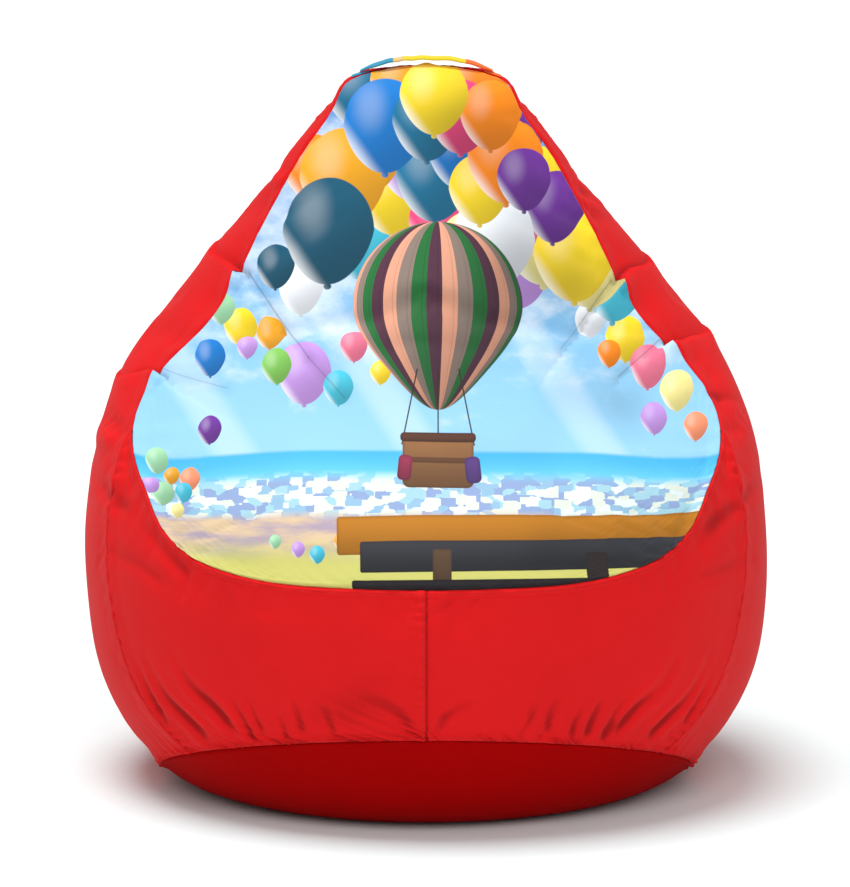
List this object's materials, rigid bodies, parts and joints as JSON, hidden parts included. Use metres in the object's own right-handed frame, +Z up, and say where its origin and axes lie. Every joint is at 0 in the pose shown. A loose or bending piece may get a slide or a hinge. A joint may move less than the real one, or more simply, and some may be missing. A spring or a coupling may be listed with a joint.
{
  "type": "bean bag chair",
  "caption": "Pear-shaped bean bag chair with a printed front panel, plain side panels, zipped cover, inner bag of bead filling and a carry handle.",
  "frame": {"origin": "middle of the bounding box on the floor", "axes": "+Z up, the seat and the print face -Y, +X to the right as seen from the front"},
  "size_m": [0.8992, 0.8999, 0.932],
  "materials": {
    "printed_cloth": "matt woven polyester with a printed picture of sky and balloons",
    "red_cloth": "matt red woven polyester",
    "base_cloth": "matt dark red woven polyester",
    "inner_cloth": "plain thin unbleached cloth",
    "beads": null,
    "printed_band": "matt woven band with the front panel's print",
    "label_cloth": "blank white satin ribbon",
    "zip_tape": "dense red woven tape",
    "zip_coil": "red nylon",
    "zip_metal": "plated zinc, light wear",
    "inner_zip_nylon": "off-white nylon and tape"
  },
  "bodies": {
    "bag": {"front_print_panel": "printed_cloth", "lower_front_panel_left": "red_cloth", "lower_front_panel_right": "red_cloth", "side_panel_left": "red_cloth", "side_panel_right": "red_cloth", "back_panel_left": "red_cloth", "back_panel_right": "red_cloth", "base_panel": "base_cloth", "inner_bag_left": "inner_cloth", "inner_bag_right": "inner_cloth", "inner_bag_base": "inner_cloth", "bead_fill": "beads", "handle_end_left": "printed_band", "handle_end_right": "printed_band", "care_label": "label_cloth", "cover_zip_tape_left": "zip_tape", "cover_zip_tape_right": "zip_tape", "cover_zip_coil_left": "zip_coil", "cover_zip_coil_right": "zip_coil", "cover_zip_bottom_stop": "zip_metal", "cover_zip_top_stop": "zip_metal", "inner_zip_tape_left": "inner_zip_nylon", "inner_zip_tape_right": "inner_zip_nylon", "inner_zip_coil_left": "inner_zip_nylon", "inner_zip_coil_right": "inner_zip_nylon", "inner_zip_bottom_stop": "zip_metal", "inner_zip_top_stop": "zip_metal"},
    "handle": {"carry_handle": "printed_band"},
    "cover_slider": {"cover_zip_slider": "zip_metal"},
    "cover_pull": {"cover_zip_pull": "zip_metal"},
    "inner_slider": {"inner_zip_slider": "zip_metal"}
  },
  "joints": [
    {"name": "handle_swing", "type": "hinge", "parent": "bag", "child": "handle", "pos_m": [0, 0.168, 0.9105], "axis": [1, 0, 0], "range_deg": [-15, 15]},
    {"name": "cover_zip_slide", "type": "hinge", "parent": "bag", "child": "cover_slider", "pos_m": [0, -0.3004, 0.36], "axis": [1, 0, 0], "range_deg": [0, 28.9]},
    {"name": "cover_pull_swing", "type": "hinge", "parent": "cover_slider", "child": "cover_pull", "pos_m": [0, 0.4334, 0.1906], "axis": [1, 0, 0], "range_deg": [-5, 150]},
    {"name": "inner_zip_slide", "type": "hinge", "parent": "bag", "child": "inner_slider", "pos_m": [0, -0.3004, 0.36], "axis": [1, 0, 0], "range_deg": [0, 12.4]}
  ]
}
